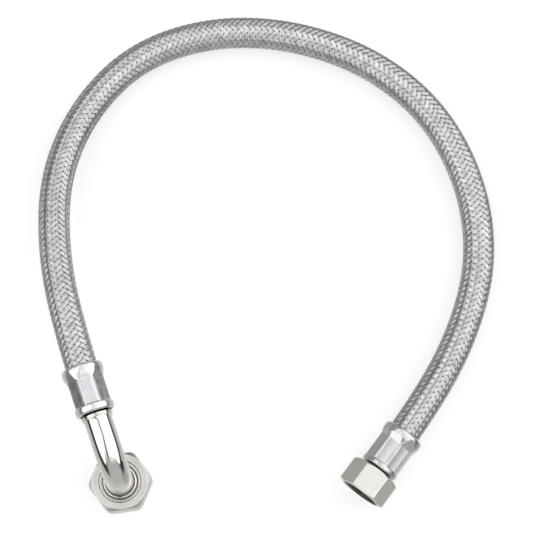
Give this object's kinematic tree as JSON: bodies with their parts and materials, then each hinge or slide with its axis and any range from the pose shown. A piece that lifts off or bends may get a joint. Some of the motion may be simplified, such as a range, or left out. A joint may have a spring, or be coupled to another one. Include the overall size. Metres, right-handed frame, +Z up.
{
  "type": "braided supply line",
  "caption": "Flexible braided water hose with a bent tube and swivel nut at one end and a straight swivel nut at the other, lying in an open loop.",
  "frame": {"origin": "centre of the elbow nut's mouth, on the surface that the line lies on", "axes": "+Z up, out of the back of the elbow nut, whose thread opens along -Z; the elbow's level leg heads towards +Y and slightly -X, and the straight nut lies on the +X side"},
  "size_m": [0.2504, 0.2789, 0.0513],
  "materials": {
    "liner_rubber": "matt black rubber",
    "braid_wire": "woven bright stainless wire",
    "ferrule_steel": "pressed bright stainless sheet",
    "tail_nickel": "turned and nickel plated",
    "tube_chrome": "mirror chrome plate",
    "collar_chrome": "bright chrome plate",
    "nut_nickel": "satin nickel plate",
    "gasket_rubber": "matt black rubber"
  },
  "bodies": {
    "hose": {"inner_liner": "liner_rubber", "wire_braid": "braid_wire", "elbow_ferrule": "ferrule_steel", "elbow_shank": "tail_nickel", "elbow_tube": "tube_chrome", "elbow_collar": "collar_chrome", "elbow_gasket": "gasket_rubber", "straight_ferrule": "ferrule_steel", "straight_tail": "tail_nickel", "straight_gasket": "gasket_rubber"},
    "elbow_swivel": {"elbow_nut": "nut_nickel"},
    "straight_swivel": {"straight_nut": "nut_nickel"}
  },
  "joints": [
    {"name": "elbow_nut_swivel", "type": "hinge", "parent": "hose", "child": "elbow_swivel", "pos_m": [0, 0, 0.0148], "axis": [0, 0, 1], "continuous": true},
    {"name": "straight_nut_swivel", "type": "hinge", "parent": "hose", "child": "straight_swivel", "pos_m": [0.1362, 0.0047, 0.01242], "axis": [0.6, 0.8, 0], "continuous": true}
  ]
}
